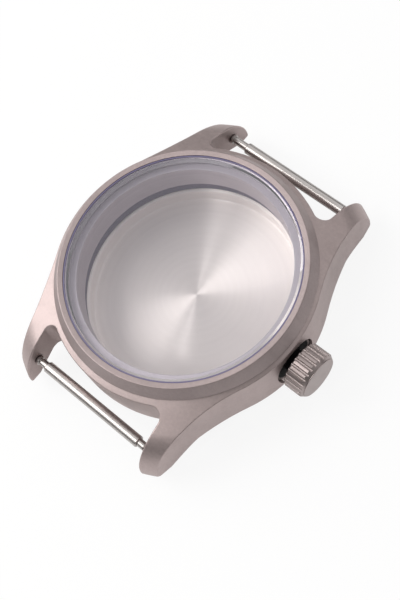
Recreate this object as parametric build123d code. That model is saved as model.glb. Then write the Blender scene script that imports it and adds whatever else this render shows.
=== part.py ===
from build123d import *
import math
import os

# An empty wrist watch case, in millimetres. The crystal faces +Z, twelve o'clock is +Y and the
# crown points along +X. The origin is on the case's axis, in the outer face of the case back.

overrun = 1.0  # how far every cut runs past the material

# Middle of the case
case_height = 12.5
movement_bore_radius = 14.05
case_wall = 3.85
band_underside_height = 4.05
rear_face_height = 2.3
back_ledge_height = 4.3
back_ledge_width = 1.55
rear_bore_height = 6.1
rear_bore_step = 0.3
rear_boss_wall = 1.3
flank_draft_angle = 3.0

# Turned dome from the bezel down to the lug tips
dome_slope_angle = 26.5
dome_step = 0.25
dome_step_width = 0.92

# Lugs
lug_gap = 20.0
lug_reach = 6.93
lug_tip_height = 1.9
lug_tip_land = 0.4
lug_tip_rounding = 0.25
lug_width = 2.22
lug_width_setback = 3.25
lug_root_inset = 1.7
lug_straight_length = 4.4
lug_root_radius = 1.2
lug_corner_rounding = 0.9
lug_corner_allowance = 0.02
lug_underside_reach = 2.2
lug_tip_foot = 1.35
rim_rounding = 0.16

# Crystal and its gasket
crystal_ledge_width = 1.2
crystal_thickness = 2.0
crystal_bevel = 0.25
crystal_sink = 0.05
gasket_wall = 0.23
gasket_foot_thickness = 0.35
gasket_foot_width = 0.32
gasket_lip_drop = 0.12
press_gap = 0.02

# Bezel, pressed on the collar of the middle
bezel_height = 1.67
bezel_top_width = 0.71
bezel_slope_width = 0.96
bezel_top_fall = 0.1
bezel_edge_rounding = 0.12
collar_wall = 0.55
collar_height = 0.8

# Screwed case back and its flat gasket
back_flange_overlap = 1.1
back_bevel_width = 1.5
back_bevel_height = 1.1
back_floor_thickness = 1.5
back_floor_rounding = 0.3
back_neck_wall = 1.39
back_rim_chamfer = 0.25
back_thread_clearance = 0.08
back_thread_pitch = 0.5
back_thread_depth = 0.22
back_thread_count = 2
back_thread_start = 0.35
wrench_notch_count = 6
wrench_notch_width = 2.8
wrench_notch_depth = 1.3
wrench_notch_height = 1.0
back_gasket_thickness = 0.4
back_gasket_rim = 0.37

# Crown pocket at three o'clock, and the tube pressed through the wall there
crown_axis_height = 6.15
crown_pocket_depth = 1.1
crown_pocket_clearance = 0.1
tube_bore_radius = 1.05
tube_shank_wall = 0.2
tube_thread_wall = 0.45
tube_flange_width = 2.1
tube_flange_thickness = 0.3
tube_inner_setback = 1.1
tube_reach = 2.5

# Crown
crown_standoff = 1.35
crown_length = 3.09
crown_radius = 3.2
crown_back_chamfer = 0.22
crown_front_chamfer_length = 0.49
crown_front_chamfer_height = 0.33
crown_disc_ledge = 0.07
crown_disc_height = 0.13
crown_disc_rounding = 0.04
crown_front_wall = 0.65
flute_count = 26
flute_radius = 0.21
flute_centre_offset = 0.03
crown_thread_clearance = 0.07
crown_mouth_recess = 0.73
crown_mouth_depth = 0.7
boss_clearance = 0.07
boss_reach = 0.2
boss_bore_end_wall = 0.2

# Small pieces in the crown
crown_gasket_gap = 0.05
socket_shank_radius = 0.42
socket_head_width = 0.24
socket_head_gap = 0.06
socket_head_length = 0.5
socket_setback = 0.45
socket_hole_radius = 0.22
socket_hole_depth = 1.5
retainer_length = 0.3
retainer_gap = 0.05
crown_spring_gap = 0.1
crown_spring_wall = 0.14
seal_setback = 0.6
seal_length = 0.55
seal_gap = 0.04

# Spring bars
bar_offset = 2.07
bar_height = 5.01
bar_tube_radius = 0.79
bar_tube_wall = 0.15
bar_tube_end_gap = 1.75
bar_tube_lip_length = 0.3
bar_tube_lip_clearance = 0.035
bar_tube_rounding = 0.1
upper_tube_shift = 0.94
plunger_radius = 0.55
plunger_depth = 2.75
plunger_head_clearance = 0.03
plunger_head_length = 0.5
tool_groove_depth = 0.15
tool_groove_length = 0.25
pin_flange_width = 0.11
pin_flange_length = 0.45
pin_flange_gap = 0.05
pin_flange_rounding = 0.08
tip_radius = 0.42
tip_length = 1.0
tip_chamfer = 0.12
lug_hole_clearance = 0.08
lug_hole_depth = 1.3
bar_spring_gap = 0.06
bar_spring_wall = 0.16

# Radii, levels and places that follow from those above
case_radius = movement_bore_radius + case_wall
lug_tip_radius = case_radius + lug_reach
thread_bore_radius = movement_bore_radius + back_ledge_width
rear_bore_radius = movement_bore_radius + rear_bore_step
rear_boss_radius = thread_bore_radius + rear_boss_wall

crystal_radius = movement_bore_radius + crystal_ledge_width
bezel_bore_radius = crystal_radius + gasket_wall
bezel_top_radius = bezel_bore_radius + bezel_top_width
bezel_foot_radius = bezel_top_radius + bezel_slope_width
bezel_foot_height = case_height - bezel_height
collar_radius = bezel_bore_radius + collar_wall
collar_top_height = bezel_foot_height + collar_height
dome_start_radius = collar_radius + dome_step_width
dome_start_height = bezel_foot_height - dome_step
crystal_top_height = case_height - crystal_sink
crystal_underside_height = crystal_top_height - crystal_thickness
crystal_seat_height = crystal_underside_height - gasket_foot_thickness

back_neck_radius = thread_bore_radius - back_thread_clearance
back_neck_top_height = back_ledge_height - back_gasket_thickness
back_inner_radius = back_neck_radius - back_neck_wall
back_flange_radius = thread_bore_radius + back_flange_overlap
back_face_radius = back_flange_radius - back_bevel_width

crown_seat_face = case_radius - crown_pocket_depth
crown_pocket_radius = crown_radius + crown_pocket_clearance
tube_shank_radius = tube_bore_radius + tube_shank_wall
tube_thread_radius = tube_bore_radius + tube_thread_wall
tube_flange_radius = tube_bore_radius + tube_flange_width
tube_inner_end = movement_bore_radius + tube_inner_setback
tube_outer_end = crown_seat_face + tube_reach
crown_back = crown_seat_face + crown_standoff
crown_front = crown_back + crown_length
crown_cavity_end = crown_front - crown_front_wall
crown_disc_radius = crown_radius - crown_front_chamfer_height - crown_disc_ledge
crown_thread_bore_radius = tube_thread_radius + crown_thread_clearance
crown_mouth_radius = crown_thread_bore_radius + crown_mouth_recess
boss_radius = tube_bore_radius - boss_clearance
boss_end = crown_back - boss_reach
boss_bore_end = crown_cavity_end - boss_bore_end_wall
socket_head_radius = socket_shank_radius + socket_head_width
boss_bore_radius = socket_head_radius + socket_head_gap
socket_head_start = boss_end + retainer_length + retainer_gap
socket_head_end = socket_head_start + socket_head_length
socket_inner_end = tube_inner_end + socket_setback
crown_spring_radius = boss_bore_radius - crown_spring_gap
seal_start = socket_inner_end + seal_setback

bar_distance = case_radius + bar_offset
bar_tube_length = lug_gap - 2 * bar_tube_end_gap
bar_tube_bore_radius = bar_tube_radius - bar_tube_wall
bar_tube_lip_radius = plunger_radius + bar_tube_lip_clearance
bar_spring_radius = bar_tube_bore_radius - bar_spring_gap
plunger_head_radius = bar_tube_bore_radius - plunger_head_clearance
plunger_inner_end = bar_tube_length / 2 - plunger_depth
tool_groove_radius = plunger_radius - tool_groove_depth
pin_flange_radius = plunger_radius + pin_flange_width
lug_hole_radius = tip_radius + lug_hole_clearance


def section(*points):
    """A closed face in the XZ plane from straight lines through points given as (radius, height)."""
    return Plane.XZ * make_face(Polyline(*points, close=True))


def turned(face):
    """The face swept round the case's axis."""
    return revolve(face, Axis.Z)


def turned_along_x(points, y, z):
    """A turned piece on an axis along X through (y, z), from points given as (x, radius)."""
    face = make_face(Polyline(*[(x, radius, 0) for x, radius in points], close=True))
    return Pos(0, y, z) * revolve(face, Axis.X)


def rod_along_x(radius, start, end, y, z):
    """A plain round rod between two places on X."""
    return turned_along_x([(start, 0), (start, radius), (end, radius), (end, 0)], y, z)


def ring_along_x(bore, radius, start, end, y, z):
    """A plain ring between two places on X."""
    return turned_along_x([(start, bore), (start, radius), (end, radius), (end, bore)], y, z)


# Middle of the case with its four lugs

def dome_section():
    """Section of the middle: bore, crystal seat, collar, dome, lug undersides and thread bore."""
    slope = math.radians(dome_slope_angle)
    bend_end_height = lug_tip_height + lug_tip_land
    # The bend leaves the straight slope smoothly and ends upright at the lug tips.
    slope_run = (lug_tip_radius - dome_start_radius) * math.sin(slope)
    slope_fall = (dome_start_height - bend_end_height) * math.cos(slope)
    bend_radius = (slope_fall - slope_run) / (1 - math.sin(slope))
    bend_centre_radius = lug_tip_radius - bend_radius
    middle = (math.pi / 2 + slope) / 2
    bend_start = (
        bend_centre_radius + bend_radius * math.sin(slope),
        bend_end_height + bend_radius * math.cos(slope),
    )
    bend_middle = (
        bend_centre_radius + bend_radius * math.sin(middle),
        bend_end_height + bend_radius * math.cos(middle),
    )
    bend_end = (lug_tip_radius, bend_end_height)
    tip_corner = (lug_tip_radius, lug_tip_height)
    outside = Polyline(
        bend_end,
        tip_corner,
        (lug_tip_radius - lug_tip_foot, lug_tip_height),
        (case_radius + lug_underside_reach, band_underside_height),
        (rear_boss_radius, band_underside_height),
        (rear_boss_radius, rear_face_height),
        (thread_bore_radius, rear_face_height),
        (thread_bore_radius, back_ledge_height),
        (rear_bore_radius, back_ledge_height),
        (rear_bore_radius, rear_bore_height),
        (movement_bore_radius, rear_bore_height),
        (movement_bore_radius, crystal_seat_height),
        (bezel_bore_radius, crystal_seat_height),
        (bezel_bore_radius, collar_top_height),
        (collar_radius, collar_top_height),
        (collar_radius, bezel_foot_height),
        (dome_start_radius, bezel_foot_height),
        (dome_start_radius, dome_start_height),
        bend_start,
    )
    face = make_face(outside + ThreePointArc(bend_start, bend_middle, bend_end))
    corner = face.vertices().sort_by_distance(tip_corner)[0]
    return Plane.XZ * fillet(corner, lug_tip_rounding)


def flank_outline():
    """Plan outline of the sides: a round body that runs through a hollow into each lug's flank."""
    half_width = lug_gap / 2 + lug_width
    station = lug_tip_radius - lug_width_setback
    lean = math.atan((case_radius - lug_root_inset - half_width) / station)
    along = Vector(-math.sin(lean), math.cos(lean))
    outward = Vector(math.cos(lean), math.sin(lean))
    # The straight flank lies this far from the case's axis. The hollow runs smoothly into it
    # and into the round body.
    offset = (case_radius - lug_root_inset) * math.cos(lean)
    straight_end = math.sqrt(lug_tip_radius**2 - offset**2)
    straight_start = straight_end - lug_straight_length
    hollow_radius = (straight_start**2 - case_radius**2 + offset**2) / (case_radius - offset) / 2
    hollow_centre = outward * (offset + hollow_radius) + along * straight_start
    hollow_end = outward * offset + along * straight_start
    hollow_start = hollow_centre * (case_radius / (case_radius + hollow_radius))
    towards_corner = (hollow_start + hollow_end) / 2 - hollow_centre
    hollow_middle = hollow_centre + towards_corner.normalized() * hollow_radius
    beyond_tip = hollow_end + along * (lug_straight_length + lug_reach)
    edge = ThreePointArc(hollow_start, hollow_middle, hollow_end)
    edge += Polyline(hollow_end, beyond_tip, (0, beyond_tip.Y), (0, 0), hollow_start)
    web = make_face(edge) & Circle(lug_tip_radius + lug_corner_allowance)
    corner = outward * offset + along * straight_end
    web = fillet(web.vertices().sort_by_distance(corner)[0], lug_corner_rounding)
    webs = web + mirror(web, Plane.YZ)
    webs += mirror(webs, Plane.XZ)
    return Circle(case_radius) + webs


def strap_gap(side):
    """The space between a pair of lugs, round in plan at the case and rounded at the lug roots."""
    reach = lug_tip_radius + overrun
    space = Pos(0, side * reach / 2) * Rectangle(lug_gap, reach) - Circle(case_radius)
    roots = space.vertices().filter_by(lambda v: math.hypot(v.X, v.Y) < case_radius + press_gap)
    space = fillet(roots, lug_root_radius)
    return extrude(space, amount=case_height)


def on_top_rim(edge):
    """Whether an edge is where the dome meets a flank, a lug's inner face or the strap's space."""
    middle = edge @ 0.5
    distance = math.hypot(middle.X, middle.Y)
    across_lugs = edge.geom_type == GeomType.CIRCLE and distance > case_radius + press_gap
    upright = edge.geom_type == GeomType.LINE
    outside_dome_start = distance > dome_start_radius + press_gap
    above_band = middle.Z > band_underside_height + press_gap
    return outside_dome_start and above_band and not across_lugs and not upright


def make_mid_case():
    blank = turned(dome_section())
    outline = Pos(0, 0, band_underside_height) * flank_outline()
    flanks = extrude(outline, amount=case_height, taper=flank_draft_angle)
    flanks += extrude(outline, amount=-case_height)
    middle = blank & flanks
    for side in (-1, 1):
        middle -= strap_gap(side)
    middle = fillet(middle.edges().filter_by(on_top_rim), rim_rounding)
    for side in (-1, 1):
        for hand in (-1, 1):
            mouth = hand * (lug_gap / 2 - overrun)
            bottom = hand * (lug_gap / 2 + lug_hole_depth)
            middle -= rod_along_x(lug_hole_radius, mouth, bottom, side * bar_distance, bar_height)
    outside = case_radius + overrun
    middle -= rod_along_x(crown_pocket_radius, crown_seat_face, outside, 0, crown_axis_height)
    tube_hole_radius = tube_shank_radius + press_gap
    middle -= rod_along_x(tube_hole_radius, movement_bore_radius - overrun, outside, 0, crown_axis_height)
    return middle


# Bezel, crystal and crystal gasket

def make_bezel_ring():
    recess_radius = collar_radius + press_gap
    recess_top = collar_top_height + press_gap
    face = section(
        (bezel_bore_radius, case_height - bezel_top_fall),
        (bezel_top_radius, case_height),
        (bezel_foot_radius, bezel_foot_height),
        (recess_radius, bezel_foot_height),
        (recess_radius, recess_top),
        (bezel_bore_radius, recess_top),
    )
    crest = face.vertices().sort_by(Axis.Z)[-1]
    return turned(fillet(crest, bezel_edge_rounding))


def make_crystal():
    face = section(
        (0, crystal_underside_height),
        (crystal_radius - crystal_bevel, crystal_underside_height),
        (crystal_radius, crystal_underside_height + crystal_bevel),
        (crystal_radius, crystal_top_height - crystal_bevel),
        (crystal_radius - crystal_bevel, crystal_top_height),
        (0, crystal_top_height),
    )
    return turned(face)


def make_crystal_gasket():
    wall = crystal_radius + press_gap
    outside = bezel_bore_radius - press_gap
    foot = crystal_radius - gasket_foot_width
    lip_height = crystal_top_height - gasket_lip_drop
    return turned(
        section(
            (foot, crystal_seat_height),
            (outside, crystal_seat_height),
            (outside, lip_height),
            (wall, lip_height),
            (wall, crystal_underside_height),
            (foot, crystal_underside_height),
        )
    )


# Case back

def back_thread_points():
    """Ring grooves on the neck, from the flange upwards."""
    start = rear_face_height + back_thread_start
    points = [(back_neck_radius, start)]
    for turn in range(back_thread_count):
        foot = start + turn * back_thread_pitch
        points.append((back_neck_radius - back_thread_depth, foot + back_thread_pitch / 2))
        points.append((back_neck_radius, foot + back_thread_pitch))
    return points


def make_case_back():
    floor_corner = (back_inner_radius, 0, back_floor_thickness)
    face = section(
        (0, 0),
        (back_face_radius, 0),
        (back_flange_radius, back_bevel_height),
        (back_flange_radius, rear_face_height),
        (back_neck_radius, rear_face_height),
        *back_thread_points(),
        (back_neck_radius, back_neck_top_height),
        (back_inner_radius + back_rim_chamfer, back_neck_top_height),
        (back_inner_radius, back_neck_top_height - back_rim_chamfer),
        (back_inner_radius, back_floor_thickness),
        (0, back_floor_thickness),
    )
    corner = face.vertices().sort_by_distance(floor_corner)[0]
    cup = turned(fillet(corner, back_floor_rounding))
    notch_length = wrench_notch_depth + overrun
    notch_centre = back_flange_radius - wrench_notch_depth + notch_length / 2
    notch = Box(notch_length, wrench_notch_width, wrench_notch_height + overrun)
    notch_middle = (wrench_notch_height - overrun) / 2
    for turn in range(wrench_notch_count):
        cup -= Rot(0, 0, turn * 360 / wrench_notch_count) * Pos(notch_centre, 0, notch_middle) * notch
    return cup


def make_case_back_gasket():
    return turned(
        section(
            (back_inner_radius + back_gasket_rim, back_neck_top_height),
            (back_neck_radius, back_neck_top_height),
            (back_neck_radius, back_ledge_height),
            (back_inner_radius + back_gasket_rim, back_ledge_height),
        )
    )


# Crown and the pieces inside it

def make_crown_tube():
    flange_end = crown_seat_face + tube_flange_thickness
    return turned_along_x(
        [
            (tube_inner_end, tube_bore_radius),
            (tube_inner_end, tube_shank_radius),
            (crown_seat_face, tube_shank_radius),
            (crown_seat_face, tube_flange_radius),
            (flange_end, tube_flange_radius),
            (flange_end, tube_thread_radius),
            (tube_outer_end, tube_thread_radius),
            (tube_outer_end, tube_bore_radius),
        ],
        0,
        crown_axis_height,
    )


def make_crown():
    knurl_front = crown_front - crown_disc_height
    mouth_end = crown_back + crown_mouth_depth
    shell = turned_along_x(
        [
            (crown_back, crown_mouth_radius),
            (crown_back, crown_radius - crown_back_chamfer),
            (crown_back + crown_back_chamfer, crown_radius),
            (knurl_front - crown_front_chamfer_length, crown_radius),
            (knurl_front, crown_radius - crown_front_chamfer_height),
            (knurl_front, crown_disc_radius),
            (crown_front - crown_disc_rounding, crown_disc_radius),
            (crown_front, crown_disc_radius - crown_disc_rounding),
            (crown_front, 0),
            (boss_bore_end, 0),
            (boss_bore_end, boss_bore_radius),
            (boss_end, boss_bore_radius),
            (boss_end, boss_radius),
            (crown_cavity_end, boss_radius),
            (crown_cavity_end, crown_thread_bore_radius),
            (mouth_end, crown_thread_bore_radius),
            (mouth_end, crown_mouth_radius),
        ],
        0,
        0,
    )
    flute_axis_radius = crown_radius + flute_centre_offset
    flute = rod_along_x(flute_radius, crown_back - overrun, crown_front, flute_axis_radius, 0)
    for turn in range(flute_count):
        shell -= Rot(turn * 360 / flute_count, 0, 0) * flute
    return Pos(0, 0, crown_axis_height) * shell


def make_crown_gasket():
    return ring_along_x(
        crown_thread_bore_radius + crown_gasket_gap,
        crown_mouth_radius - crown_gasket_gap,
        crown_back + crown_gasket_gap,
        crown_back + crown_mouth_depth - crown_gasket_gap,
        0,
        crown_axis_height,
    )


def make_crown_retainer():
    outside = boss_bore_radius - press_gap
    bore = socket_shank_radius + retainer_gap
    return ring_along_x(bore, outside, boss_end, boss_end + retainer_length, 0, crown_axis_height)


def make_stem_socket():
    return turned_along_x(
        [
            (socket_inner_end, socket_hole_radius),
            (socket_inner_end, socket_shank_radius),
            (socket_head_start, socket_shank_radius),
            (socket_head_start, socket_head_radius),
            (socket_head_end, socket_head_radius),
            (socket_head_end, 0),
            (socket_inner_end + socket_hole_depth, 0),
            (socket_inner_end + socket_hole_depth, socket_hole_radius),
        ],
        0,
        crown_axis_height,
    )


def make_crown_spring():
    bore = crown_spring_radius - crown_spring_wall
    return ring_along_x(bore, crown_spring_radius, socket_head_end, boss_bore_end, 0, crown_axis_height)


def make_stem_seal():
    return ring_along_x(
        socket_shank_radius + seal_gap,
        tube_bore_radius - seal_gap,
        seal_start,
        seal_start + seal_length,
        0,
        crown_axis_height,
    )


# Spring bars

def make_bar_tube(y, shift):
    half = bar_tube_length / 2
    start = shift - half
    end = shift + half
    edge_radius = bar_tube_radius - bar_tube_rounding
    return turned_along_x(
        [
            (start, bar_tube_lip_radius),
            (start, edge_radius),
            (start + bar_tube_rounding, bar_tube_radius),
            (end - bar_tube_rounding, bar_tube_radius),
            (end, edge_radius),
            (end, bar_tube_lip_radius),
            (end - bar_tube_lip_length, bar_tube_lip_radius),
            (end - bar_tube_lip_length, bar_tube_bore_radius),
            (start + bar_tube_lip_length, bar_tube_bore_radius),
            (start + bar_tube_lip_length, bar_tube_lip_radius),
        ],
        y,
        bar_height,
    )


def make_bar_pin(y, hand):
    """A plunger, tool groove, flange and tip. hand is 1 for the crown side and -1 for the other."""
    flange_end = lug_gap / 2 - pin_flange_gap
    flange_start = flange_end - pin_flange_length
    groove_start = flange_start - tool_groove_length
    head_end = plunger_inner_end + plunger_head_length
    flange_edge = pin_flange_radius - pin_flange_rounding
    tip_end = flange_end + tip_length
    points = [
        (plunger_inner_end, 0),
        (plunger_inner_end, plunger_head_radius),
        (head_end, plunger_head_radius),
        (head_end, plunger_radius),
        (groove_start, plunger_radius),
        (groove_start, tool_groove_radius),
        (flange_start, tool_groove_radius),
        (flange_start, flange_edge),
        (flange_start + pin_flange_rounding, pin_flange_radius),
        (flange_end - pin_flange_rounding, pin_flange_radius),
        (flange_end, flange_edge),
        (flange_end, tip_radius),
        (tip_end - tip_chamfer, tip_radius),
        (tip_end, tip_radius - tip_chamfer),
        (tip_end, 0),
    ]
    return turned_along_x([(hand * x, radius) for x, radius in points], y, bar_height)


def make_bar_spring(y):
    bore = bar_spring_radius - bar_spring_wall
    return ring_along_x(bore, bar_spring_radius, -plunger_inner_end, plunger_inner_end, y, bar_height)


nodes = {
    "mid_case": make_mid_case(),
    "bezel_ring": make_bezel_ring(),
    "crystal": make_crystal(),
    "crystal_gasket": make_crystal_gasket(),
    "case_back": make_case_back(),
    "case_back_gasket": make_case_back_gasket(),
    "crown_tube": make_crown_tube(),
    "crown": make_crown(),
    "crown_gasket": make_crown_gasket(),
    "crown_retainer": make_crown_retainer(),
    "crown_spring": make_crown_spring(),
    "stem_socket": make_stem_socket(),
    "stem_seal": make_stem_seal(),
}
for name, side, shift in (("upper", 1, upper_tube_shift), ("lower", -1, 0)):
    place = side * bar_distance
    nodes[name + "_bar_tube"] = make_bar_tube(place, shift)
    nodes[name + "_bar_left_pin"] = make_bar_pin(place, -1)
    nodes[name + "_bar_right_pin"] = make_bar_pin(place, 1)
    nodes[name + "_bar_spring"] = make_bar_spring(place)

os.makedirs("parts", exist_ok=True)
for name, solid in nodes.items():
    solid.label = name
    export_step(solid, "parts/" + name + ".step")
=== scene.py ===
import math

import bmesh
import bpy
from mathutils import Matrix, Vector


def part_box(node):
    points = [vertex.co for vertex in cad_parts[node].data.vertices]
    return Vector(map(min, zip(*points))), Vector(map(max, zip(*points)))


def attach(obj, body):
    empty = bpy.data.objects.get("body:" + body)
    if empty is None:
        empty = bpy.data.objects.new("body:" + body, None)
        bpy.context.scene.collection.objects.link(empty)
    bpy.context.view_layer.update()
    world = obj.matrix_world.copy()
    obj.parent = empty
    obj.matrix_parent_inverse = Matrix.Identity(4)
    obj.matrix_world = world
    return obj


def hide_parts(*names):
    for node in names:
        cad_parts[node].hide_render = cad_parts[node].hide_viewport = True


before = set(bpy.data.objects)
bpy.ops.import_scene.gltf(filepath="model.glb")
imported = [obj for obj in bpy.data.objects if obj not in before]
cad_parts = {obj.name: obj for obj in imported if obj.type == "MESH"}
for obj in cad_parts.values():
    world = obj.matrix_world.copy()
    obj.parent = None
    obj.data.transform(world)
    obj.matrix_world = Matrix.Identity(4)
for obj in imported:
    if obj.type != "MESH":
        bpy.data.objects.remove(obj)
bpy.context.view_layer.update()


# Camera. It looks down on the crystal from the crown's side, turned so that twelve o'clock points
# to the upper right of the frame, with the case filling an upright picture.
mm = 0.001
scene = bpy.context.scene
scene.view_settings.view_transform = "Standard"

camera_azimuth = math.radians(-23.451)
camera_elevation = math.radians(65.506)
camera_roll = math.radians(27.866)
camera_distance = 141.766 * mm
camera_target = Vector((5.0717, -2.183, 12.5)) * mm
camera_near_limit = 5 * mm
lens_millimetres = 69.18
sensor_millimetres = 36

towards_camera = Vector((
    math.cos(camera_elevation) * math.cos(camera_azimuth),
    math.cos(camera_elevation) * math.sin(camera_azimuth),
    math.sin(camera_elevation),
))
level_right = Vector((0, 0, 1)).cross(towards_camera).normalized()
level_up = towards_camera.cross(level_right)
picture_right = math.cos(camera_roll) * level_right - math.sin(camera_roll) * level_up
picture_up = math.sin(camera_roll) * level_right + math.cos(camera_roll) * level_up

camera_data = bpy.data.cameras.new("camera")
camera_data.lens = lens_millimetres
camera_data.sensor_width = sensor_millimetres
camera_data.clip_start = camera_near_limit
camera = bpy.data.objects.new("camera", camera_data)
camera.matrix_world = Matrix.Translation(camera_target + towards_camera * camera_distance) @ Matrix(
    (picture_right, picture_up, towards_camera)
).transposed().to_4x4()
scene.collection.objects.link(camera)
scene.camera = camera


# Table and light. A plain pale table lies just under the case. Soft lamps stand on the left, low on
# the left and in front, and the room round them is dim below and brighter on its far side.
table_reach = 3.0
table_drop = 0.02 * mm
table_corners = ((-1, -1), (1, -1), (1, 1), (-1, 1))
floor_mesh = bpy.data.meshes.new("floor")
floor_mesh.from_pydata(
    [(x * table_reach, y * table_reach, -table_drop) for x, y in table_corners], [], [(0, 1, 2, 3)]
)
floor = bpy.data.objects.new("floor", floor_mesh)
scene.collection.objects.link(floor)


class Signal:
    """One output socket of a node, which can stand in plain arithmetic."""

    def __init__(self, tree, socket):
        self.tree = tree
        self.socket = socket

    def math(self, operation, *operands):
        node = self.tree.nodes.new("ShaderNodeMath")
        node.operation = operation
        for place, operand in zip(node.inputs, operands):
            if isinstance(operand, Signal):
                self.tree.links.new(operand.socket, place)
            else:
                place.default_value = operand
        return Signal(self.tree, node.outputs[0])

    def __add__(self, other):
        return self.math("ADD", self, other)

    def __sub__(self, other):
        return self.math("SUBTRACT", self, other)

    def __rsub__(self, other):
        return self.math("SUBTRACT", other, self)

    def __mul__(self, other):
        return self.math("MULTIPLY", self, other)

    def __truediv__(self, other):
        return self.math("DIVIDE", self, other)

    def __pow__(self, other):
        return self.math("POWER", self, other)

    __radd__ = __add__
    __rmul__ = __mul__

    def kept(self, low, high):
        """The signal held between two values."""
        return self.math("MINIMUM", self.math("MAXIMUM", self, low), high)

    def step(self, low, high):
        """From 0 at low to 1 at high, smoothly."""
        node = self.tree.nodes.new("ShaderNodeMapRange")
        node.interpolation_type = "SMOOTHSTEP"
        self.tree.links.new(self.socket, node.inputs["Value"])
        node.inputs["From Min"].default_value = low
        node.inputs["From Max"].default_value = high
        return Signal(self.tree, node.outputs["Result"])


class Finish:
    """A node tree with what it needs to be written short: a new material's own, or one given."""

    def __init__(self, name=None, tree=None):
        if not tree:
            self.material = bpy.data.materials.new(name)
            self.material.use_nodes = True
            tree = self.material.node_tree
            self.shader = tree.nodes["Principled BSDF"]
            self.end = tree.nodes["Material Output"]
        self.tree = tree

    def put(self, node, values):
        """Gives a node's sockets their values or links."""
        for name, value in values.items():
            if isinstance(value, Signal):
                self.tree.links.new(value.socket, node.inputs[name])
            else:
                node.inputs[name].default_value = value

    def node(self, kind, settings=None, values=None, output=0):
        """A new node of that kind: its settings first, then its sockets. Gives one output."""
        node = self.tree.nodes.new(kind)
        for name, value in (settings or {}).items():
            setattr(node, name, value)
        self.put(node, values or {})
        return Signal(self.tree, node.outputs[output])

    def light_path(self, question):
        """1 for the rays that the question is true of."""
        return self.node("ShaderNodeLightPath", output=question)

    def place(self):
        """Object coordinates, in metres."""
        return self.node("ShaderNodeTexCoord", output="Object")

    def along(self, stretch, turn=(0, 0, 0)):
        """Object coordinates scaled by a factor for each direction, and turned."""
        return self.node(
            "ShaderNodeMapping", {}, {"Vector": self.place(), "Scale": stretch, "Rotation": turn}
        )

    def noise(self, scale, detail=3, roughness=0.5, where=None):
        """Noise with that many patches to a metre."""
        return self.node(
            "ShaderNodeTexNoise", {},
            {"Vector": where or self.place(), "Scale": scale, "Detail": detail, "Roughness": roughness},
        )

    def split(self, vector):
        """The three parts of a vector."""
        node = self.tree.nodes.new("ShaderNodeSeparateXYZ")
        self.tree.links.new(vector.socket, node.inputs[0])
        return [Signal(self.tree, output) for output in node.outputs]

    def join(self, x, y):
        """A vector with those first two parts."""
        return self.node("ShaderNodeCombineXYZ", {}, {"X": x, "Y": y})

    def blend_with(self, factor, other):
        """Ends the material in its own shader and another one, mixed by a factor."""
        node = self.tree.nodes.new("ShaderNodeMixShader")
        self.tree.links.new(factor.socket, node.inputs[0])
        self.tree.links.new(self.shader.outputs[0], node.inputs[1])
        self.tree.links.new(other.socket, node.inputs[2])
        self.tree.links.new(node.outputs[0], self.end.inputs["Surface"])

    def mix(self, factor, first, second):
        """A colour between two colours, each given as a colour or a link."""
        node = self.tree.nodes.new("ShaderNodeMix")
        node.data_type = "RGBA"
        for place, value in ((0, factor), (6, first), (7, second)):
            if isinstance(value, Signal):
                self.tree.links.new(value.socket, node.inputs[place])
            else:
                node.inputs[place].default_value = value
        return Signal(self.tree, node.outputs[2])

    def bump(self, height, strength, distance, under=None):
        """Normals tilted by a height, over other normals where they are given."""
        values = {"Height": height, "Strength": strength, "Distance": distance}
        if under:
            values["Normal"] = under
        return self.node("ShaderNodeBump", {}, values)

    def soft_edges(self, radius):
        """Normals that turn smoothly over each edge, as on a piece tumbled after machining."""
        return self.node("ShaderNodeBevel", {"samples": 6}, {"Radius": radius})

    def sharp_edges(self, radius):
        """1 along sharp edges, out to about that radius, and 0 elsewhere."""
        shape = self.node("ShaderNodeNewGeometry", output="Normal")
        agreement = self.node(
            "ShaderNodeVectorMath", {"operation": "DOT_PRODUCT"},
            {0: self.soft_edges(radius), 1: shape}, output="Value",
        )
        return (1 - agreement).step(0.01, 0.10)

    def crevices(self, reach):
        """1 in corners and seams narrower than the reach, and 0 on open faces."""
        openness = self.node(
            "ShaderNodeAmbientOcclusion", {"samples": 6}, {"Distance": reach}, output="AO"
        )
        return 1 - openness.step(0.25, 0.95)

    def set(self, values):
        """Gives the material's own shader its values, and gives the material."""
        self.put(self.shader, values)
        return self.material


# The paper shows almost white to the camera and keeps a faint shadow. Metal sees it as pale grey with a
# painted white glow, more of it on the left and on the right. Away from the case its colour darkens to
# a painted dimness, so its light on the case comes from near by only.
paper = Finish("pale_paper")
pale_paper = (0.90, 0.90, 0.90, 1)
bright_paper = (0.93, 0.93, 0.93, 1)
# Painted dimness: the paper's colour for reflected and scattered light darkens away from the case.
painted_far_dimness = (0.12, 0.12, 0.12, 1)
white = (1, 1, 1, 1)
table_x, table_y, table_z = paper.split(paper.place())
far = ((table_x * table_x + table_y * table_y) ** 0.5).step(45 * mm, 100 * mm)
seen = paper.light_path("Is Camera Ray")
mirrored = paper.light_path("Is Glossy Ray")
through = paper.light_path("Is Transmission Ray")
paper_colour = paper.mix(paper.noise(scale=900), pale_paper, bright_paper)
paper.set({
    "Base Color": paper.mix(far * (1 - seen), paper_colour, painted_far_dimness),
    "Roughness": 0.9,
    "Specular IOR Level": 0.1,
})
left_side = (-1 * table_x).step(14 * mm, 24 * mm)
right_side = table_x.step(-5 * mm, 20 * mm)
white_to_camera = 0.88
white_through_crystal = 0.4
# Painted glow: the paper adds white to reflections, more on the left and on the right.
painted_glow_in_metal = 0.15 + 0.40 * left_side + 0.45 * right_side
paper.blend_with(
    (white_to_camera * seen + painted_glow_in_metal * mirrored + white_through_crystal * through).kept(0, 1),
    paper.node("ShaderNodeEmission", {}, {"Color": white, "Strength": 1.0}),
)
floor.data.materials.append(paper.material)


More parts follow.
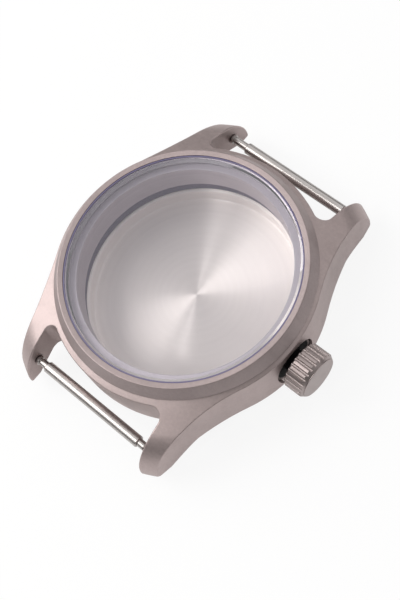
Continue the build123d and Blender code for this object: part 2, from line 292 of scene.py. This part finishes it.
def soft_lamp(name, direction, distance, width, strength, colour):
    """A square lamp that faces the case, with its lengths in metres. Strength is the brightness of
    its surface."""
    data = bpy.data.lights.new(name, "AREA")
    data.shape = "SQUARE"
    data.size = width
    data.energy = strength * math.pi * width**2
    data.color = colour
    lamp = bpy.data.objects.new(name, data)
    away = Vector(direction).normalized()
    facing = away.to_track_quat("Z", "Y").to_matrix().to_4x4()
    lamp.matrix_world = Matrix.Translation(away * distance) @ facing
    scene.collection.objects.link(lamp)


warm_light = (1.0, 0.985, 0.97)
soft_lamp(
    "left_lamp", direction=(-0.56, -0.37, 0.74), distance=0.40, width=0.26, strength=3.9,
    colour=warm_light,
)
soft_lamp(
    "low_left_lamp", direction=(-0.90, -0.22, 0.36), distance=0.40, width=0.20, strength=2.0,
    colour=warm_light,
)
soft_lamp(
    "front_lamp", direction=(-0.03, -0.545, 0.838), distance=0.50, width=0.07, strength=17.0,
    colour=(1.0, 0.99, 0.98),
)

world = bpy.data.worlds.new("room")
scene.world = world
world.use_nodes = True
room = Finish(tree=world.node_tree)
light_below = 0.10
light_of_near_wall = 0.25
dimming_overhead = 0.36
room_x, room_y, room_z = room.split(room.node("ShaderNodeTexCoord", output="Generated"))
far_wall = (0.8 * room_y - 0.6 * room_x).step(-0.6, 0.5)
above_table = room_z.step(0.14, 0.62)
overhead = room_z.step(0.75, 0.97)
wall_light = light_of_near_wall + (1 - light_of_near_wall) * far_wall
room_light = light_below + above_table * (1 - dimming_overhead * overhead) * wall_light
room_seen = room.light_path("Is Camera Ray")
room.put(room.tree.nodes["Background"], {
    "Color": (1.0, 0.99, 0.99, 1),
    "Strength": room_seen + (1 - room_seen) * room_light,
})


# Middle of the case. Titanium, milled and turned in one piece with its four lugs, then blasted with
# fine beads to an even matt grey with a little warmth. The bore and the crystal's ledge are masked
# while it is blasted, so they stay as turned.

def blasted_titanium(name, shade, grain_depth, edge, seam, edge_highlight_strength=0.8, polish=0.0, inside=None):
    """Bead-blasted metal, with a painted highlight along its edges, which are also a little smoother
    where handled, and painted shade in its seams.
    """
    finish = Finish(name)
    cloud = finish.noise(scale=110, detail=2)
    mottle = finish.noise(scale=2600, detail=4, roughness=0.6)
    grain = finish.noise(scale=11000, detail=2, roughness=0.7)
    handling = finish.noise(
        scale=1.0, detail=3, roughness=0.6,
        where=finish.along(stretch=(260, 900, 500), turn=(0.4, 0.3, 0.7)),
    )
    pits = finish.node(
        "ShaderNodeTexVoronoi", {"feature": "SMOOTH_F1"},
        {"Vector": finish.place(), "Scale": 9000, "Smoothness": 0.6}, output="Distance",
    )
    # The first two colours are the metal's own tone. The third is a painted highlight for edges, and
    # the fourth is painted shade for seams.
    dark, light, painted_edge_highlight, painted_seam_shade = (
        tuple(share * value for value in shade) + (1,) for share in (0.86, 1.12, 1.60, 0.30)
    )
    tone = 0.45 * cloud + 0.35 * mottle + 0.2 * grain
    # Edges are painted lighter as a highlight, and their roughness is a little lower, as from handling.
    edge_wear_and_highlight = finish.sharp_edges(edge) * (0.55 + 0.45 * mottle.step(0.35, 0.6))
    colour = finish.mix(tone.step(0.3, 0.7), dark, light)
    colour = finish.mix(edge_highlight_strength * edge_wear_and_highlight, colour, painted_edge_highlight)
    # Painted shade: seams and narrow corners are darkened, such as the line at the bezel's foot.
    colour = finish.mix(0.85 * finish.crevices(seam), colour, painted_seam_shade)
    if inside:
        colour = inside(finish, colour)
    return finish.set({
        "Base Color": colour,
        "Metallic": 1.0,
        "Roughness": (0.40 - polish) + 0.14 * mottle + 0.06 * handling.step(0.45, 0.7) - 0.08 * edge_wear_and_highlight,
        "Normal": finish.bump(
            grain * 0.5 + pits * 0.5, strength=0.35, distance=grain_depth,
            under=finish.soft_edges(edge),
        ),
    })


def give(material, *names):
    """Puts a material on CAD nodes."""
    for name in names:
        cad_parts[name].material_slots[0].material = material


def turned_inside(finish, blasted):
    """The bore and the ledge are cooler in tone, with fine turned rings, and the wider rear part of the
    bore is painted dark, a painted shade for that recess."""
    ledge_edge = (15.10 * mm, 15.20 * mm)
    ledge_top = (10.25 * mm, 10.35 * mm)
    rear_edge = (14.60 * mm, 14.70 * mm)
    rear_top = (6.04 * mm, 6.09 * mm)
    x, y, z = finish.split(finish.place())
    from_axis = (x * x + y * y) ** 0.5
    in_bore = (1 - from_axis.step(*ledge_edge)) * (1 - z.step(*ledge_top))
    shaded_rear = (1 - from_axis.step(*rear_edge)) * (1 - z.step(*rear_top))
    rings = finish.noise(scale=9000, detail=2, roughness=0.6, where=finish.join(from_axis, z))
    cool = finish.mix(rings.step(0.3, 0.7), (0.44, 0.405, 0.44, 1), (0.51, 0.47, 0.505, 1))
    # Painted shade for the recessed rear part of the bore.
    dark = (0.085, 0.07, 0.115, 1)
    return finish.mix(shaded_rear, finish.mix(in_bore, blasted, cool), dark)


# The case carries painted shade in its seams and rear bore, and a painted highlight along its edges.
case_metal = blasted_titanium(
    "blasted_case_titanium", shade=(0.475, 0.395, 0.385), grain_depth=0.012 * mm,
    edge=0.07 * mm, seam=0.35 * mm, inside=turned_inside,
)
give(case_metal, "mid_case")


# Bezel. A titanium ring pressed on the collar of the middle, with a blasted sloping wall and a narrow
# flat round the crystal, whose edges are a little polished by wear and carry a faint painted highlight.
# Its seams carry painted shade.
bezel_metal = blasted_titanium(
    "blasted_bezel_titanium", shade=(0.395, 0.33, 0.325), grain_depth=0.010 * mm,
    edge=0.07 * mm, seam=0.30 * mm, edge_highlight_strength=0.35,
)
give(bezel_metal, "bezel_ring")


# Crystal. Flat sapphire with polished bevels and a faint cold tint, held by its gasket. Lamplight
# goes straight through it to the metal inside.
sapphire = Finish("clear_sapphire")
smudge = sapphire.noise(scale=240, detail=2)
sapphire.set({
    "Base Color": sapphire.mix(smudge.step(0.3, 0.7), (0.975, 0.97, 0.985, 1), (0.99, 0.985, 0.995, 1)),
    "Roughness": 0.004 + 0.006 * smudge.step(0.5, 0.8),
    "IOR": 1.77,
    "Transmission Weight": 1.0,
    "Specular Tint": (0.92, 0.90, 1.0, 1),
})
glass_rays = sapphire.light_path("Is Camera Ray") + sapphire.light_path("Is Transmission Ray")
sapphire.blend_with(
    1 - glass_rays.kept(0, 1),
    sapphire.node("ShaderNodeBsdfTransparent", {}, {"Color": (0.95, 0.95, 0.96, 1)}),
)
give(sapphire.material, "crystal")


# Crystal gasket. A ring of pale plastic, L-shaped in section, squeezed between the crystal and the
# bezel. Its lip round the crystal is painted dark violet, a painted tinted reflection and shade at the
# crystal's edge.
plastic = Finish("gasket_plastic")
plastic_mottle = plastic.noise(scale=3000, detail=3)
plastic_x, plastic_y, plastic_z = plastic.split(plastic.place())
lip = plastic_z.step(12.10 * mm, 12.25 * mm)
pale = plastic.mix(plastic_mottle, (0.44, 0.41, 0.44, 1), (0.52, 0.49, 0.52, 1))
# Painted dark violet for the tinted reflection and shade at the crystal's edge.
painted_violet_edge = plastic.mix(plastic_mottle, (0.13, 0.115, 0.21, 1), (0.18, 0.16, 0.27, 1))
gasket_plastic = plastic.set({
    "Base Color": plastic.mix(lip, pale, painted_violet_edge),
    "Roughness": 0.3 + 0.15 * plastic_mottle,
    "IOR": 1.5,
    "Normal": plastic.bump(
        plastic_mottle, strength=0.05, distance=0.004 * mm, under=plastic.soft_edges(0.04 * mm)
    ),
})
give(gasket_plastic, "crystal_gasket")


# Case back. Titanium, turned from the bar with a flat cup that is left as the tool cut it, so fine
# rings run round the centre under a satin haze. It screws into the middle from behind.
turned = Finish("turned_titanium")
back_x, back_y, back_z = turned.split(turned.place())
section = turned.join((back_x * back_x + back_y * back_y) ** 0.5, back_z)
ring_lines = turned.noise(scale=24000, detail=2, roughness=0.7, where=section)
ring_bands = turned.noise(scale=1500, detail=3, roughness=0.6, where=section)
haze = turned.noise(scale=140, detail=2)
turned_tone = (0.5 * ring_bands + 0.25 * haze + 0.25 * ring_lines).step(0.3, 0.7)
turned_metal = turned.set({
    "Base Color": turned.mix(turned_tone, (0.87, 0.81, 0.775, 1), (0.94, 0.88, 0.845, 1)),
    "Metallic": 0.50 + 0.1 * haze,
    "Roughness": 0.39 + 0.08 * ring_bands,
    "Anisotropic": 1.0,
    "Anisotropic Rotation": 0.25,
    "Normal": turned.bump(
        ring_lines, strength=0.12, distance=0.004 * mm, under=turned.soft_edges(0.05 * mm)
    ),
})
give(turned_metal, "case_back")


# Seals. Dark rubber, moulded: the flat gasket that the case back presses on, the crown's gasket and
# the seal in its tube.
rubber = Finish("dark_rubber")
rubber_grain = rubber.noise(scale=8000, detail=3)
dark_rubber = rubber.set({
    "Base Color": rubber.mix(rubber_grain, (0.045, 0.045, 0.06, 1), (0.08, 0.08, 0.1, 1)),
    "Roughness": 0.45 + 0.2 * rubber_grain,
    "Normal": rubber.bump(
        rubber_grain, strength=0.3, distance=0.01 * mm, under=rubber.soft_edges(0.06 * mm)
    ),
})
give(dark_rubber, "case_back_gasket", "crown_gasket", "stem_seal")


# Crown. Titanium, fluted round its side, with a flat raised disc on its end. It screws down over
# the tube.
# Its colour carries painted shade in the flute valleys and round its pocket, and a painted highlight
# along the crests.
crown_metal = blasted_titanium(
    "blasted_crown_titanium", shade=(0.40, 0.34, 0.33), grain_depth=0.006 * mm,
    edge=0.03 * mm, seam=0.80 * mm, polish=0.12,
)
give(crown_metal, "crown")


# Crown tube. Steel, pressed through the wall of the case, with a flange that nearly fills the crown's
# pocket. Its colour is near black, a painted shade for the dark pocket, with a lighter, titanium-like
# ring round its rim.
tube_finish = Finish("tube_steel_painted_shade")
tube_mottle = tube_finish.noise(scale=3000, detail=3)
tube_low, tube_high = (Vector(corner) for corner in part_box("crown_tube"))
tube_middle = (tube_low + tube_high) / 2
tube_radius = (tube_high.z - tube_low.z) / 2
tube_x, tube_y, tube_z = tube_finish.split(tube_finish.place())
tube_side = tube_y - tube_middle.y
tube_rise = tube_z - tube_middle.z
rim_ring = ((tube_side * tube_side + tube_rise * tube_rise) ** 0.5).step(
    tube_radius - 0.42 * mm, tube_radius - 0.20 * mm
)
# Painted shade: the flange is near black to stand for the shadow in the crown's pocket.
painted_pocket_shade = tube_finish.mix(tube_mottle, (0.010, 0.009, 0.010, 1), (0.020, 0.017, 0.018, 1))
lighter_rim_colour = tube_finish.mix(tube_mottle, (0.30, 0.25, 0.24, 1), (0.38, 0.32, 0.31, 1))
tube_metal = tube_finish.set({
    "Base Color": tube_finish.mix(rim_ring, painted_pocket_shade, lighter_rim_colour),
    "Metallic": 0.4 + 0.6 * rim_ring,
    "Specular IOR Level": 0.1,
    "Roughness": 0.60 + 0.2 * tube_mottle,
    "Normal": tube_finish.bump(
        tube_mottle, strength=0.2, distance=0.01 * mm, under=tube_finish.soft_edges(0.05 * mm)
    ),
})
give(tube_metal, "crown_tube")


# Spring bars. Drawn steel: a tube with a sprung pin in each end, whose tips sit in blind holes in
# the lugs. The crown's retainer and the socket for the stem are the same steel.
steel = Finish("drawn_steel")
draw_lines = steel.noise(
    scale=1.0, detail=2, roughness=0.6, where=steel.along(stretch=(120, 9000, 9000))
)
steel_cloud = steel.noise(scale=500, detail=2)
steel_tone = (0.6 * draw_lines + 0.4 * steel_cloud).step(0.3, 0.7)
drawn_steel = steel.set({
    "Base Color": steel.mix(steel_tone, (0.44, 0.415, 0.40, 1), (0.56, 0.53, 0.515, 1)),
    "Metallic": 1.0,
    "Roughness": 0.28 + 0.08 * draw_lines,
    "Normal": steel.bump(
        draw_lines, strength=0.06, distance=0.002 * mm, under=steel.soft_edges(0.04 * mm)
    ),
})
for bar in ("upper_bar", "lower_bar"):
    give(drawn_steel, bar + "_tube", bar + "_left_pin", bar + "_right_pin")
give(drawn_steel, "crown_retainer", "stem_socket")


# Coil springs. Drawn spring wire, wound with closed turns at each end. One sits in each spring bar
# between its two pins, and one in the crown.
closed_turns = 1.5
closed_pitch_in_wire_radii = 2.05
points_per_turn = 22
wire_sides = 10

wire = Finish("spring_wire")
wire_cloud = wire.noise(scale=2500, detail=3)
spring_wire = wire.set({
    "Base Color": wire.mix(wire_cloud.step(0.3, 0.7), (0.40, 0.39, 0.37, 1), (0.52, 0.51, 0.49, 1)),
    "Metallic": 1.0,
    "Roughness": 0.22 + 0.14 * wire_cloud,
    "Normal": wire.bump(wire_cloud, strength=0.15, distance=0.004 * mm),
})

winding = bpy.data.node_groups.new("spring_winding", "GeometryNodeTree")
numbers = ("Turns", "Closed Turns", "Coil Radius", "Wire Radius", "Start", "Length")
kinds = {label: "NodeSocketFloat" for label in numbers}
kinds.update({"Axis Place": "NodeSocketVector", "Wire": "NodeSocketMaterial"})
sockets = {}
for label, kind in kinds.items():
    sockets[label] = winding.interface.new_socket(label, in_out="INPUT", socket_type=kind).identifier
winding.interface.new_socket("Geometry", in_out="OUTPUT", socket_type="NodeSocketGeometry")

coil = Finish(tree=winding)
given = winding.nodes.new("NodeGroupInput")
turns, closed, coil_radius, wire_radius, start, length, axis_place, given_wire = (
    Signal(winding, given.outputs[label]) for label in kinds
)
path = coil.node("GeometryNodeResampleCurve", {}, {
    "Curve": coil.node("GeometryNodeCurvePrimitiveLine"), "Count": turns * points_per_turn,
})
along_wire = coil.node("GeometryNodeSplineParameter", output="Factor")
angle = along_wire * turns * math.tau
closed_length = closed_pitch_in_wire_radii * wire_radius * turns
open_length = length - 2 * wire_radius - closed_length
opened = coil.node("ShaderNodeMapRange", {}, {
    "Value": along_wire, "From Min": closed / turns, "From Max": 1 - closed / turns,
})
spot = coil.node("ShaderNodeCombineXYZ", {}, {
    "X": start + wire_radius + closed_length * along_wire + open_length * opened,
    "Y": coil_radius * angle.math("COSINE", angle),
    "Z": coil_radius * angle.math("SINE", angle),
})
spot = coil.node("ShaderNodeVectorMath", {"operation": "ADD"}, {0: spot, 1: axis_place})
path = coil.node("GeometryNodeSetPosition", {}, {"Geometry": path, "Position": spot})
round_wire = coil.node(
    "GeometryNodeCurvePrimitiveCircle", {}, {"Resolution": wire_sides, "Radius": wire_radius}
)
solid = coil.node("GeometryNodeCurveToMesh", {}, {
    "Curve": path, "Profile Curve": round_wire, "Fill Caps": True,
})
solid = coil.node("GeometryNodeSetShadeSmooth", {}, {"Geometry": solid})
solid = coil.node("GeometryNodeRealizeInstances", {}, {"Geometry": solid})
solid = coil.node("GeometryNodeSetMaterial", {}, {"Geometry": solid, "Material": given_wire})
winding.links.new(solid.socket, winding.nodes.new("NodeGroupOutput").inputs["Geometry"])


def wind_spring(name, node, body, turns, wire_radius):
    """A coil in the place of a CAD node that holds its room, as a plain mesh."""
    low, high = (Vector(corner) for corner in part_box(node))
    middle = (low + high) / 2
    base = bpy.data.objects.new(name + "_path", bpy.data.meshes.new(name + "_path"))
    scene.collection.objects.link(base)
    maker = base.modifiers.new("winding", "NODES")
    maker.node_group = winding
    values = {
        "Turns": float(turns),
        "Closed Turns": closed_turns,
        "Coil Radius": (high.z - low.z) / 2 - wire_radius,
        "Wire Radius": wire_radius,
        "Start": low.x,
        "Length": high.x - low.x,
        "Axis Place": (0.0, middle.y, middle.z),
        "Wire": spring_wire,
    }
    for label, value in values.items():
        maker[sockets[label]] = value
    wound = base.evaluated_get(bpy.context.evaluated_depsgraph_get())
    mesh = bpy.data.meshes.new_from_object(wound)
    bpy.data.objects.remove(base)
    shape = bmesh.new()
    shape.from_mesh(mesh)
    bmesh.ops.recalc_face_normals(shape, faces=shape.faces)
    shape.to_mesh(mesh)
    shape.free()
    piece = bpy.data.objects.new(name, mesh)
    scene.collection.objects.link(piece)
    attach(piece, body)
    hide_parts(node)


wind_spring("upper_coil", "upper_bar_spring", "upper_tube", turns=26, wire_radius=0.08 * mm)
wind_spring("lower_coil", "lower_bar_spring", "lower_tube", turns=26, wire_radius=0.08 * mm)
wind_spring("crown_coil", "crown_spring", "crown_core", turns=5, wire_radius=0.07 * mm)
